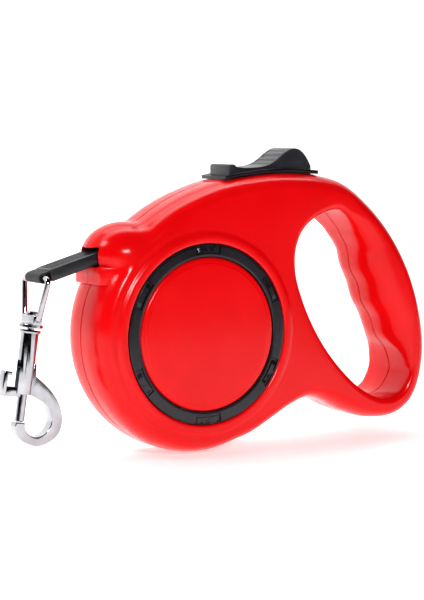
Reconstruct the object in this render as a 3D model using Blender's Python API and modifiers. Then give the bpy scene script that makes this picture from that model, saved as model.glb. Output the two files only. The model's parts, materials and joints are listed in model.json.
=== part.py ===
"""Retractable tape leash: two-part casing, sprung tape reel, thumb brake, and a swivel bolt snap.

Everything is laid out about the reel's centre, under one empty, and the empty's place sets the
leash's origin at the middle of the hand grip. +X runs from the tape's mouth to the grip, +Y to the
right-hand side of the leash, +Z up. Lengths below are in millimetres; MM makes them metres.
"""

import bpy
import bmesh
from math import acos, atan2, cos, hypot, pi, radians, sin
from mathutils import Matrix, Vector

MM = 0.001
GAP = 0.3                       # left between pieces that touch

# The casing, from the side (X, Z), round the reel's centre
GRIP_CENTRE = (96.0, 8.0)       # middle of the hand grip
BODY_RADIUS = 48.4              # round reel housing
BODY_ARC = (140, 292)           # degrees of its rim that stay round, from the snout down and under
TOP_LINE = [(58, 62.2), (49, 63.1), (39, 63.4), (29, 62.9), (19.5, 61.8), (10, 60.2),
            (0.7, 57.4), (-8.6, 53.7), (-17.5, 48.9), (-26, 42.6)]
LOWER_ARM_AND_GRIP = [(25, -42.6), (34, -38), (43, -33.3), (52, -30.5), (61, -32.4), (72, -37.4),
                      (83.5, -41), (95, -41.3), (103.5, -37), (109, -28.5), (111.7, -16),
                      (111.2, -3.5), (107.9, 10.7), (102.5, 24), (94.4, 37), (84, 48.5), (71, 58.4)]
OPENING_LEFT = [(66.5, 46.9), (60, 47.4), (52.6, 44.6), (46.6, 39.4), (43.4, 31.5), (43.5, 22),
                (46.6, 12), (51.5, 1.5), (58.2, -9), (66.5, -18.7), (76, -27), (86, -32.1),
                (94, -31.8), (99.4, -27.4)]
OPENING_GRIP = ((101.8, -20), (75.4, 37))   # ends of the grip's inner side
GRIP_BULGE = 2.0                # how far that side bows towards the fingers
GROOVES, GROOVE_DEPTH = 4, 0.9
GROOVE_STEPS = 3                # points on the side of each groove

HALF_WIDTH = 16.0               # casing, from the parting plane to its flat side
EDGE_ROUND = 3.8
WALL = 2.0
CAVITY_HALF_WIDTH = 13.0
BEAD_RADIUS, BEAD_HALF_WIDTH = 40.0, 17.0   # raised land round the ring on each side

# The snout that the tape comes out of
TAPE_SLOPE = radians(16)        # the tape leaves forward and down
MOUTH = (-44.1, 31.8)           # middle of the mouth at its lip
MOUTH_WIDTH, MOUTH_HEIGHT = 14.0, 7.4
HOOD_CENTRE, HOOD_RADII = (-29.0, 0.0, 32.0), (17.0, 15.9, 13.0)
LIP = (-45.0, 21.0, 28.1)       # front face, bottom, top
LIP_HALF_WIDTH = 10.3

# Trim on each side
POCKET_RADIUS, POCKET_FLOOR = 36.3, 14.6
RING_RADII, RING_FACE = (31.0, 36.0), 16.8
CLIPS, CLIP_DEPTH = 6, 0.5
COVER_RADIUS, COVER_FACE = 30.7, 17.2

# Reel
HUB_RADII = (17.6, 21.0)
FLANGE_FACE, FLANGE_THICKNESS = 6.6, 1.7    # inner face of each flange, from the parting plane
TEETH, TOOTH_ROOT, TOOTH_TIP = 20, 41.2, 43.5
TAPE_WIDTH, TAPE_THICKNESS, TAPE_LENGTH = 12.0, 0.75, 5000.0
COIL_START = HUB_RADII[1] + GAP
COIL_RADIUS = hypot(COIL_START, (TAPE_LENGTH * TAPE_THICKNESS / pi) ** 0.5)
AXLE_RADIUS = 4.0
SPRING_TURNS = 6

# Tape end
SLEEVE_WIDTH, SLEEVE_THICKNESS = 12.4, 4.8
SLEEVE_AXIS = (-44.1, 31.15)    # a point on its centreline, at the lip
SLEEVE_OUT, SLEEVE_IN = 20.9, 9.5   # how far it reaches each way from there
LOOP_REACH = 3.2                # sleeve's end to the middle of the eye's bar

# Bolt snap, hanging from the eye's bar; heights below are down its own axis
HOOK_LEAN = radians(8.2)
EYE_WIRE = 1.15
EYE_TOP_HALF, EYE_BOTTOM_HALF, EYE_DROP = 9.8, 6.6, 15.0
EYE_BLOCK = (14.4, 18.2)
EYE_PLATE = (4.8, 18.0, 19.5)   # round plate under the block: radius, top, bottom
LOOP_THICKNESS = 0.6            # tape round the bar
FLANGE_TOP, BARREL_TOP, BORE_TOP, BARREL_END = 20.2, 21.6, 24.4, 45.3
BARREL_RADIUS, BORE_RADIUS, BOLT_RADIUS = 3.3, 2.2, 1.85
BOLT_TOP, BOLT_END = 35.0, 55.9
HOOK_OUTER = [(3.9, 38), (8, 40.7), (12.2, 44.2), (15.6, 48.8), (17.3, 54), (16.6, 59.2), (13, 63),
              (7.6, 64.9), (2.2, 63.7), (-1.2, 61), (-2.6, 58.2), (-2.4, 56.2)]
HOOK_INNER = [(1.5, 56.2), (1.7, 58.2), (3.2, 60.2), (7, 61.4), (10.9, 59.4), (12.8, 55.4), (12, 51.6),
              (9.4, 48.3), (6.2, 46.7)]
HOOK_HALF_WIDTH = 2.4

# Thumb brake on top of the casing
SLOT = (13.1, 56.9, 8.1)        # casing slot: front, back, half width
BEZEL = (12.6, 58.0, 9.25, 1.5)  # front, back, half width, thickness
BEZEL_SLOT = (13.3, 56.5, 7.8)
BUTTON_HALF_WIDTH = 7.5
BUTTON_TOP = [(15.6, 65.8), (16.2, 67), (18.2, 67), (19.2, 66.1), (23, 65.6), (29, 65.7), (34, 66.5),
              (38, 68.4), (42, 71.3), (45, 72.8), (47.6, 73.2), (50.3, 72.4), (53, 69.9), (55.4, 66)]
BUTTON_BOTTOM = [(55.6, 62), (54.5, 60.4), (16.8, 58), (15.6, 59)]
BUTTON_PIVOT = (19.0, 60.3)
STEM = (27.7, 30.7, 48.9)       # front, back, bottom of the stem that presses the pawl
PAWL_PIVOT, PAWL_PIN_RADIUS = (37.0, 46.5), 1.5
PAWL_OUTLINE = [(37, 49.3), (28, 48.3), (17, 46.8), (13.6, 45.4), (14.3, 43.4), (17, 43.9),
                (26, 44.8), (31.5, 44.4), (37, 43.7)]
PAWL_HALF_WIDTH, PAWL_TIP_HALF_WIDTH = 6.6, 8.0
PAWL_TIP = [(13.9, 45), (14.5, 43.7), (16.6, 44.1), (16.6, 46.4)]
PRESSED_TIP = (15.1, 39.9)      # where its tip goes when the button is down
CARRIAGE = (50.5, 51.2, 52.6, 8.6)  # lock slider's plate: back, bottom, top, half width

CASE_SCREWS = [(4, 53.6), (68, 53.2), (105.8, -21), (54, -20.5)]
BOSS_RADIUS, SCREW_RADIUS, HEAD_RADIUS = 2.7, 1.1, 2.1
HEAD_SEAT, HEAD_TOP, SCREW_REACH = 12.3, 14.2, 9.0   # from the parting plane
BOSS_END = 13.5                 # bosses run into the casing's side wall by this much
PIN_BOSS, AXLE_BOSS = (3.0, 9.0), (7.0, 10.6)   # radius, and where each starts
AXLE_END, PIN_END = 12.1, 12.2

RED = (0.8, 0.004, 0.006, 1)
BLACK = (0.012, 0.012, 0.014, 1)
STEEL = (0.62, 0.62, 0.64, 1)
CHROME = (0.82, 0.82, 0.84, 1)
NYLON = (0.72, 0.71, 0.68, 1)


# ---------------------------------------------------------------- helpers

def start_scene():
    """Empties the file and makes the collections and the empty that all pieces stand on."""
    for obj in list(bpy.data.objects):
        bpy.data.objects.remove(obj)
    for name in ("retractable_leash", "cutters"):
        bpy.context.scene.collection.children.link(bpy.data.collections.new(name))
    centre = bpy.data.objects.new("reel_centre", None)
    centre.location = (-GRIP_CENTRE[0] * MM, 0, -GRIP_CENTRE[1] * MM)
    bpy.data.collections["retractable_leash"].objects.link(centre)
    return centre


def finish(obj, colour, roughness, metallic=0.0, at=(0, 0, 0), turn=(0, 0, 0)):
    """Gives a piece its own material and its place under the reel's centre (at in mm)."""
    material = bpy.data.materials.new(obj.name)
    material.use_nodes = True
    shader = material.node_tree.nodes["Principled BSDF"]
    shader.inputs["Base Color"].default_value = colour
    shader.inputs["Roughness"].default_value = roughness
    shader.inputs["Metallic"].default_value = metallic
    obj.data.materials.clear()
    obj.data.materials.append(material)
    obj.parent = CENTRE
    obj.location = Vector(at) * MM
    obj.rotation_euler = turn
    return obj


def link(name, data, cutter=False):
    obj = bpy.data.objects.new(name, data)
    bpy.data.collections["cutters" if cutter else "retractable_leash"].objects.link(obj)
    if cutter:
        obj.parent = CENTRE
        obj.hide_render = True
        obj.display_type = "WIRE"
    return obj


def mesh_object(name, bm, cutter=False):
    mesh = bpy.data.meshes.new(name)
    bm.to_mesh(mesh)
    bm.free()
    mesh.shade_smooth()
    mesh.set_sharp_from_angle(angle=radians(35))
    return link(name, mesh, cutter)


def along(axis, start, end, across=(0, 0)):
    """Matrix that carries a unit-high shape on Z to a span of axis, at the given cross place."""
    middle = (start + end) / 2
    if axis == "Y":
        place = Matrix.Translation(Vector((across[0], middle, across[1])) * MM)
        return place @ Matrix.Rotation(radians(90), 4, "X")
    return Matrix.Translation(Vector((across[0], across[1], middle)) * MM)


def rods(name, spans, axis="Y", cutter=False, sides=24):
    """Cylinders, one for each (radius, start, end, across)."""
    bm = bmesh.new()
    for radius, start, end, across in spans:
        bmesh.ops.create_cone(bm, cap_ends=True, segments=sides, radius1=radius * MM, radius2=radius * MM,
                              depth=(end - start) * MM, matrix=along(axis, start, end, across))
    return mesh_object(name, bm, cutter)


def box(name, low, high, cutter=False, bevel=0.0, turn=0.0, pivot=(0, 0)):
    """A box between two corners, optionally turned about Y round a pivot (x, z)."""
    bm = bmesh.new()
    low, high = Vector(low) * MM, Vector(high) * MM
    size = high - low
    shape = Matrix.Translation((low + high) / 2) @ Matrix.Diagonal((*size, 1))
    hinge = Matrix.Translation(Vector((pivot[0], 0, pivot[1])) * MM)
    bmesh.ops.create_cube(bm, size=1, matrix=hinge @ Matrix.Rotation(turn, 4, "Y") @ hinge.inverted() @ shape)
    if bevel:
        bmesh.ops.bevel(bm, geom=bm.edges[:], offset=bevel * MM, segments=2, profile=0.5,
                        affect="EDGES", material=-1)
    return mesh_object(name, bm, cutter)


def turned(name, profile, sides=40):
    """A profile of (radius, height) spun round Z by a Screw modifier. It runs down its outer side,
    and closes on itself unless it starts and ends on the axis."""
    bm = bmesh.new()
    points = [bm.verts.new((r * MM, 0, h * MM)) for r, h in profile]
    pairs = list(zip(points, points[1:]))
    if profile[0][0] > 0:
        pairs.append((points[-1], points[0]))
    for a, b in pairs:
        bm.edges.new((a, b))
    obj = mesh_object(name, bm)
    screw = obj.modifiers.new("turn", "SCREW")
    screw.axis = "Z"
    screw.steps = screw.render_steps = sides
    screw.use_merge_vertices = True
    screw.merge_threshold = 0.00001
    return obj


def spline(data, points, cyclic=True):
    part = data.splines.new("POLY")
    part.points.add(len(points) - 1)
    for target, point in zip(part.points, points):
        target.co = (*(Vector(point) * MM), 1) if len(point) == 3 else (point[0] * MM, point[1] * MM, 0, 1)
    part.use_cyclic_u = cyclic


def to_mesh(curve_obj, name, cutter):
    """Makes a curve object a mesh with welded caps, and removes the curve."""
    bpy.context.view_layer.update()
    evaluated = curve_obj.evaluated_get(bpy.context.evaluated_depsgraph_get())
    mesh = bpy.data.meshes.new_from_object(evaluated)
    bm = bmesh.new()
    bm.from_mesh(mesh)
    bmesh.ops.remove_doubles(bm, verts=bm.verts, dist=0.000002)
    bm.transform(curve_obj.matrix_world)
    bpy.data.objects.remove(curve_obj)
    return mesh_object(name, bm, cutter)


def flat(name, loops, half_width, bevel=0.0, offset=0.0, cutter=False, steps=1):
    """A flat outline in X and Z with holes, given its width along Y."""
    data = bpy.data.curves.new(name + "_outline", "CURVE")
    data.dimensions = "2D"
    data.fill_mode = "BOTH"
    data.extrude = (half_width - bevel) * MM
    data.bevel_depth = bevel * MM
    data.bevel_resolution = steps
    data.offset = offset * MM
    for points in loops:
        spline(data, points)
    obj = bpy.data.objects.new(name + "_outline", data)
    obj.rotation_euler = (radians(90), 0, 0)
    bpy.context.scene.collection.objects.link(obj)
    return to_mesh(obj, name, cutter)


def wire(name, points, radius, cyclic=False, cutter=False):
    """A round wire along points."""
    data = bpy.data.curves.new(name + "_wire", "CURVE")
    data.dimensions = "3D"
    data.bevel_depth = radius * MM
    data.bevel_resolution = 2
    data.use_fill_caps = True
    spline(data, points, cyclic)
    obj = bpy.data.objects.new(name + "_wire", data)
    bpy.context.scene.collection.objects.link(obj)
    return to_mesh(obj, name, cutter)


def join(obj, other, operation="UNION"):
    """Boolean of obj with other, which becomes a cutter."""
    boolean = obj.modifiers.new(other.name, "BOOLEAN")
    boolean.operation = operation
    boolean.solver = "EXACT"
    boolean.object = other
    return obj


def cut(obj, *cutters):
    for cutter in cutters:
        join(obj, cutter, "DIFFERENCE")
    return obj


def arc(radius, start, end, steps, centre=(0, 0)):
    """Points on an arc in degrees, both ends included."""
    turns = [radians(start + (end - start) * i / steps) for i in range(steps + 1)]
    return [(centre[0] + radius * cos(t), centre[1] + radius * sin(t)) for t in turns]


def circle(radius, sides):
    return arc(radius, 0, 360 - 360 / sides, sides - 1)


def smooth(points, per_span=2, closed=True):
    """Even points on a Catmull-Rom curve through the given ones."""
    last = len(points) if closed else len(points) - 1
    result = []
    for i in range(last):
        if closed:
            a, b, c, d = (Vector(points[(i + k) % len(points)]) for k in (-1, 0, 1, 2))
        else:
            a, b, c, d = (Vector(points[min(max(i + k, 0), last)]) for k in (-1, 0, 1, 2))
        for j in range(per_span):
            t = j / per_span
            result.append(tuple(0.5 * (2 * b + (c - a) * t + (2 * a - 5 * b + 4 * c - d) * t * t
                                       + (3 * b - a - 3 * c + d) * t ** 3)))
    if not closed:
        result.append(tuple(points[-1]))
    return result


def tape_point(distance, rise=0.0, origin=SLEEVE_AXIS):
    """A point on the tape's line: distance outward from the lip, and rise above the line."""
    return (origin[0] - distance * cos(TAPE_SLOPE) - rise * sin(TAPE_SLOPE),
            origin[1] - distance * sin(TAPE_SLOPE) + rise * cos(TAPE_SLOPE))


# ---------------------------------------------------------------- outlines

def casing_outline():
    rim = arc(BODY_RADIUS, *BODY_ARC, 9)
    return smooth(TOP_LINE + rim + LOWER_ARM_AND_GRIP)


def grip_side():
    """The grip's inner side, bottom to top, with its finger grooves."""
    low, high = (Vector(p) for p in OPENING_GRIP)
    inward = Vector((low.y - high.y, high.x - low.x)).normalized()
    count = 2 * GROOVES * GROOVE_STEPS
    points = []
    for i in range(count + 1):
        t = i / count
        bow = GRIP_BULGE * sin(pi * t) - GROOVE_DEPTH * sin(GROOVES * pi * t) ** 2
        points.append(tuple(low.lerp(high, t) + inward * bow))
    return points


def opening_outline():
    return smooth(OPENING_LEFT, 2, closed=False) + grip_side()


def top_height(x):
    """Height of the casing's top line at x."""
    line = sorted(TOP_LINE)
    for (x0, z0), (x1, z1) in zip(line, line[1:]):
        if x0 <= x <= x1:
            return z0 + (z1 - z0) * (x - x0) / (x1 - x0)
    return line[-1][1]


# ---------------------------------------------------------------- casing

def half_casing(name, side):
    """One casing half. side is -1 for the left, +1 for the right, where the screws go in."""
    loops = [casing_outline(), opening_outline()]
    shell = flat(name, loops, HALF_WIDTH, EDGE_ROUND, -EDGE_ROUND)
    bm = bmesh.new()
    bmesh.ops.create_uvsphere(bm, u_segments=24, v_segments=14, radius=MM)
    bmesh.ops.scale(bm, vec=HOOD_RADII, verts=bm.verts)
    bmesh.ops.translate(bm, vec=Vector(HOOD_CENTRE) * MM, verts=bm.verts)
    join(shell, mesh_object(name + "_hood", bm, cutter=True))
    join(shell, box(name + "_lip", (LIP[0], -LIP_HALF_WIDTH, LIP[1]), (-34, LIP_HALF_WIDTH, LIP[2]),
                    cutter=True, bevel=0.8))
    bead = rods(name + "_bead", [(BEAD_RADIUS, -BEAD_HALF_WIDTH, BEAD_HALF_WIDTH, (0, 0))],
                cutter=True, sides=48)
    join(shell, bead)

    cavity = flat(name + "_cavity", loops, CAVITY_HALF_WIDTH, EDGE_ROUND - WALL, -EDGE_ROUND, cutter=True)
    cut(shell, cavity)

    bosses = [(BOSS_RADIUS, 0, at) for at in CASE_SCREWS] + [(*PIN_BOSS, PAWL_PIVOT), (*AXLE_BOSS, (0, 0))]
    for i, (radius, start, at) in enumerate(bosses):
        low, high = sorted((side * start, side * BOSS_END))
        post = rods(f"{name}_boss_{i}", [(radius, low, high, at)], cutter=True, sides=12)
        join(shell, post)

    low, high = sorted((side * (CARRIAGE[3] - 0.7), side * BOSS_END))
    join(shell, box(name + "_slider_ledge", (22, low, CARRIAGE[1] - 1.8), (49, high, CARRIAGE[1] - GAP),
                    cutter=True))

    through = HALF_WIDTH + 4
    hollow = [(AXLE_RADIUS + GAP, 0, AXLE_END + GAP, (0, 0)), (PAWL_PIN_RADIUS + GAP, 0, PIN_END + GAP, PAWL_PIVOT)]
    hollow += [(SCREW_RADIUS + GAP, 0, SCREW_REACH + 1 if side < 0 else through, at) for at in CASE_SCREWS]
    if side > 0:
        hollow += [(HEAD_RADIUS + GAP, HEAD_SEAT - GAP, through, at) for at in CASE_SCREWS]
        hollow += [(SCREW_RADIUS + GAP, AXLE_END, through, (0, 0))]
    for i, (radius, start, end, at) in enumerate(hollow):
        low, high = sorted((side * start, side * end))
        cut(shell, rods(f"{name}_hole_{i}", [(radius, low, high, at)], cutter=True, sides=12))

    low, high = sorted((side * POCKET_FLOOR, side * through))
    pocket = rods(name + "_pocket", [(POCKET_RADIUS, low, high, (0, 0))], cutter=True, sides=48)
    half_height = MOUTH_HEIGHT / 2
    mouth = box(name + "_mouth", (MOUTH[0] - 9, -MOUTH_WIDTH / 2, MOUTH[1] - half_height),
                (MOUTH[0] + 16, MOUTH_WIDTH / 2, MOUTH[1] + half_height), cutter=True,
                turn=-TAPE_SLOPE, pivot=MOUTH)
    seat = box(name + "_guide_seat", (MOUTH[0] + 3, -8.1, MOUTH[1] - 4.5), (MOUTH[0] + 16, 8.1, MOUTH[1] + 4.5),
               cutter=True, turn=-TAPE_SLOPE, pivot=MOUTH)
    slot = box(name + "_button_slot", (SLOT[0], -SLOT[2], 54), (SLOT[1], SLOT[2], 70), cutter=True)
    low, high = sorted((-side * 40, side * GAP / 2))
    other = box(name + "_other_half", (-120, low, -80), (140, high, 90), cutter=True)
    cut(shell, pocket, mouth, seat, slot, other)
    return finish(shell, RED, 0.18)


def side_trim(prefix, side):
    """The black ring with its clip slots, and the round cover inside it."""
    low, high = sorted((side * (POCKET_FLOOR + GAP), side * RING_FACE))
    ring = flat(prefix + "_ring", [circle(RING_RADII[1], 48), circle(RING_RADII[0], 48)], (high - low) / 2)
    middle = (low + high) / 2
    for i in range(CLIPS):
        turn = i * 2 * pi / CLIPS + pi / 2
        notch = box(f"{prefix}_clip_{i}", (34.6, -CLIP_DEPTH, -5.2), (37, CLIP_DEPTH, 5.2), cutter=True)
        notch.rotation_euler = (0, -turn, 0)
        notch.location = (0, side * RING_FACE * MM, 0)
        cut(ring, notch)
    finish(ring, BLACK, 0.3, at=(0, middle, 0))
    face, back = side * COVER_FACE, side * (POCKET_FLOOR + GAP)
    rim = side * (COVER_FACE - 0.9)
    profile = [(0, face), (COVER_RADIUS - 2.2, face), (COVER_RADIUS - 0.7, side * (COVER_FACE - 0.25)),
               (COVER_RADIUS, rim), (COVER_RADIUS, back), (0, back)]
    cover = turned(prefix + "_side_cover", profile[::side])
    finish(cover, RED, 0.18, turn=(radians(-90), 0, 0))


def case_screws():
    for i, at in enumerate(CASE_SCREWS):
        screw = rods(f"case_screw_{i + 1}", [(HEAD_RADIUS, HEAD_SEAT, HEAD_TOP, at)], sides=16)
        shank = rods(f"case_screw_shank_{i + 1}", [(SCREW_RADIUS, -SCREW_REACH, HEAD_SEAT + 0.7, at)],
                     cutter=True, sides=12)
        drive = box(f"case_screw_drive_{i + 1}", (at[0] - 1.3, HEAD_TOP - 0.8, at[1] - 0.35),
                    (at[0] + 1.3, HEAD_TOP + 0.8, at[1] + 0.35), cutter=True)
        finish(cut(join(screw, shank), drive), STEEL, 0.35, 1.0)


def mouth_guide():
    guide = box("mouth_guide", (MOUTH[0] + 3.3, -7.7, MOUTH[1] - 4.2), (MOUTH[0] + 9, 7.7, MOUTH[1] + 4.2),
                turn=-TAPE_SLOPE, pivot=MOUTH)
    way = box("mouth_guide_way", (MOUTH[0] - 4, -6.7, MOUTH[1] - 3.4), (MOUTH[0] + 20, 6.7, MOUTH[1] + 2.6),
              cutter=True, turn=-TAPE_SLOPE, pivot=MOUTH)
    finish(cut(guide, way), BLACK, 0.4)


# ---------------------------------------------------------------- reel and tape

def ratchet_outline():
    """A toothed disc, with a gap between teeth where the pawl comes down."""
    pitch = 2 * pi / TEETH
    pawl_angle = atan2(*PRESSED_TIP[::-1])
    points = []
    for i in range(TEETH):
        start = pawl_angle + (i + 0.5) * pitch
        for radius, shift in ((TOOTH_ROOT, -4.4), (TOOTH_TIP, -3.2), (TOOTH_TIP, 3.2), (TOOTH_ROOT, 4.4)):
            angle = start + radians(shift)
            points.append((radius * cos(angle), radius * sin(angle)))
    return points


def reel():
    half = FLANGE_THICKNESS / 2
    outer_face = FLANGE_FACE + FLANGE_THICKNESS
    bore = circle(AXLE_RADIUS + GAP, 24)
    drum = flat("reel_drum", [ratchet_outline(), bore], half)
    drum.data.transform(Matrix.Translation((0, -(FLANGE_FACE + half) * MM, 0)))
    hub_end = FLANGE_FACE - GAP
    for i, (inner, outer, end) in enumerate(((HUB_RADII[0], HUB_RADII[1], hub_end), (4.6, 6.2, hub_end))):
        tube = flat(f"reel_tube_{i}", [circle(outer, 36), circle(inner, 36)],
                    (end + outer_face - 0.5) / 2, cutter=True)
        tube.location = (0, (end - outer_face + 0.5) / 2 * MM, 0)
        join(drum, tube)
    screws = [(19.3 * cos(t), 19.3 * sin(t)) for t in (radians(90), radians(210), radians(330))]
    for i, at in enumerate(screws):
        cut(drum, rods(f"reel_screw_hole_{i}", [(0.8 + GAP, -2, 10, at)], cutter=True, sides=12))
    finish(drum, NYLON, 0.45)

    cap = flat("reel_cap", [ratchet_outline(), bore], half)
    cap.data.transform(Matrix.Translation((0, (FLANGE_FACE + half) * MM, 0)))
    for i, at in enumerate(screws):
        cut(cap, rods(f"reel_cap_hole_{i}", [(0.8 + GAP, 0, 20, at)], cutter=True, sides=12))
    finish(cap, NYLON, 0.45)
    for i, at in enumerate(screws):
        head = outer_face + GAP
        screw = rods(f"reel_screw_{i + 1}", [(1.8, head, head + 1.2, at)], sides=16)
        join(screw, rods(f"reel_screw_shank_{i + 1}", [(0.8, -1, head + 0.5, at)], cutter=True, sides=12))
        finish(screw, STEEL, 0.35, 1.0)

    half_tape = TAPE_WIDTH / 2
    coil = turned("wound_tape", [(COIL_RADIUS, half_tape), (COIL_RADIUS, -half_tape),
                                 (COIL_START, -half_tape), (COIL_START, half_tape)])
    finish(coil, BLACK, 0.7, turn=(radians(-90), 0, 0))


def power_spring():
    """A flat steel strip wound between the axle and the hub."""
    inner, outer, per_turn = AXLE_RADIUS + 3.2, HUB_RADII[0] - 1.0, 12
    bm = bmesh.new()
    count = SPRING_TURNS * per_turn
    rows = []
    for i in range(count + 1):
        angle = 2 * pi * i / per_turn
        radius = inner + (outer - inner) * i / count
        rows.append([bm.verts.new((radius * cos(angle) * MM, y * MM, radius * sin(angle) * MM))
                     for y in (-4.2, 4.2)])
    for (a, b), (c, d) in zip(rows, rows[1:]):
        bm.faces.new((a, b, d, c))
    obj = mesh_object("power_spring", bm)
    strip = obj.modifiers.new("thickness", "SOLIDIFY")
    strip.thickness = 0.35 * MM
    strip.offset = 0
    finish(obj, STEEL, 0.3, 1.0)


def axle():
    shaft = rods("axle", [(AXLE_RADIUS, -AXLE_END, AXLE_END, (0, 0))])
    cut(shaft, rods("axle_thread", [(1.4, 2, 20, (0, 0))], cutter=True, sides=12))
    cut(shaft, box("axle_spring_slot", (2.4, -4.5, -0.4), (6, 4.5, 0.4), cutter=True))
    finish(shaft, STEEL, 0.35, 1.0)
    screw = rods("axle_screw", [(SCREW_RADIUS, 3.0, HEAD_TOP, (0, 0))], sides=12)
    finish(screw, STEEL, 0.35, 1.0)
    for name, side in (("left_reel_washer", -1), ("right_reel_washer", 1)):
        washer = flat(name, [circle(7.5, 24), circle(AXLE_RADIUS + GAP, 24)], 0.4)
        outer_face = FLANGE_FACE + FLANGE_THICKNESS
        finish(washer, NYLON, 0.4, at=(0, side * (outer_face + 10.6) / 2, 0))


def tape_run():
    """The tape from the coil to the sleeve, the moulded sleeve, and the loop round the eye."""
    radius = COIL_RADIUS + GAP + TAPE_THICKNESS / 2
    end = Vector(tape_point(-SLEEVE_IN - GAP))
    tangent = atan2(end.y, end.x) - acos(radius / end.length)
    leave = Vector((radius * cos(tangent), radius * sin(tangent)))
    side = Vector((leave.y - end.y, end.x - leave.x)).normalized() * (TAPE_THICKNESS / 2)
    outline = [tuple(leave - side), tuple(leave + side), tuple(end + side), tuple(end - side)]
    lead = flat("tape_lead", [outline], TAPE_WIDTH / 2)
    finish(lead, BLACK, 0.7)

    half = SLEEVE_THICKNESS / 2
    sleeve = box("tape_sleeve", (SLEEVE_AXIS[0] - SLEEVE_OUT, -SLEEVE_WIDTH / 2, SLEEVE_AXIS[1] - half),
                 (SLEEVE_AXIS[0] + SLEEVE_IN, SLEEVE_WIDTH / 2, SLEEVE_AXIS[1] + half), bevel=0.5,
                 turn=-TAPE_SLOPE, pivot=SLEEVE_AXIS)
    finish(sleeve, BLACK, 0.35)

    inner, outer = EYE_WIRE + GAP, EYE_WIRE + GAP + LOOP_THICKNESS
    lean = TAPE_SLOPE * 180 / pi
    reach = LOOP_REACH - GAP
    round_out = arc(outer, 90 + lean, 270 + lean, 8)
    round_in = arc(inner, 270 + lean, 90 + lean, 8)
    back = Vector((cos(TAPE_SLOPE), sin(TAPE_SLOPE))) * reach
    ends = [tuple(Vector(p) + back) for p in (round_out[-1], round_in[0])]
    starts = [tuple(Vector(p) + back) for p in (round_in[-1], round_out[0])]
    loop = flat("tape_loop", [round_out + ends + round_in + starts], TAPE_WIDTH / 2)
    bar = tape_point(SLEEVE_OUT + LOOP_REACH)
    finish(loop, BLACK, 0.7, at=(bar[0], 0, bar[1]))


# ---------------------------------------------------------------- bolt snap

def on_snap(obj, colour, roughness, metallic=1.0):
    """Places a snap piece: its own origin is the middle of the eye's bar, -Z runs down the snap."""
    bar = tape_point(SLEEVE_OUT + LOOP_REACH)
    return finish(obj, colour, roughness, metallic, at=(bar[0], 0, bar[1]), turn=(0, HOOK_LEAN, 0))


def snap_cutter(obj):
    bar = tape_point(SLEEVE_OUT + LOOP_REACH)
    obj.location = Vector((bar[0], 0, bar[1])) * MM
    obj.rotation_euler = (0, HOOK_LEAN, 0)
    return obj


def down(spans):
    """Rod spans down the snap's axis, given as (radius, top, bottom)."""
    return [(radius, -bottom, -top, (0, 0)) for radius, top, bottom in spans]


def swivel_eye():
    def corner(y, z, start, end, radius=2.0):
        return [(0, y + radius * cos(radians(t)), z + radius * sin(radians(t)))
                for t in range(start, end + 1, 30)]
    top, bottom = EYE_TOP_HALF - 2.0, EYE_BOTTOM_HALF - 2.0
    path = corner(top, -2.0, 0, 90) + corner(-top, -2.0, 90, 180)
    path += corner(-bottom, -EYE_DROP + 1, 180, 270) + corner(bottom, -EYE_DROP + 1, 270, 360)
    eye = wire("swivel_eye", path, EYE_WIRE, cyclic=True)
    block = box("swivel_eye_block", (-1.9, -5.6, -EYE_BLOCK[1]), (1.9, 5.6, -EYE_BLOCK[0]), cutter=True, bevel=0.5)
    plate = rods("swivel_eye_plate", down([EYE_PLATE]), "Z", cutter=True, sides=32)
    hole = rods("swivel_eye_hole", down([(1.4 + GAP, 10, 22)]), "Z", cutter=True, sides=16)
    joined = join(join(eye, snap_cutter(block)), snap_cutter(plate))
    on_snap(cut(joined, snap_cutter(hole)), CHROME, 0.08)


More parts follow.
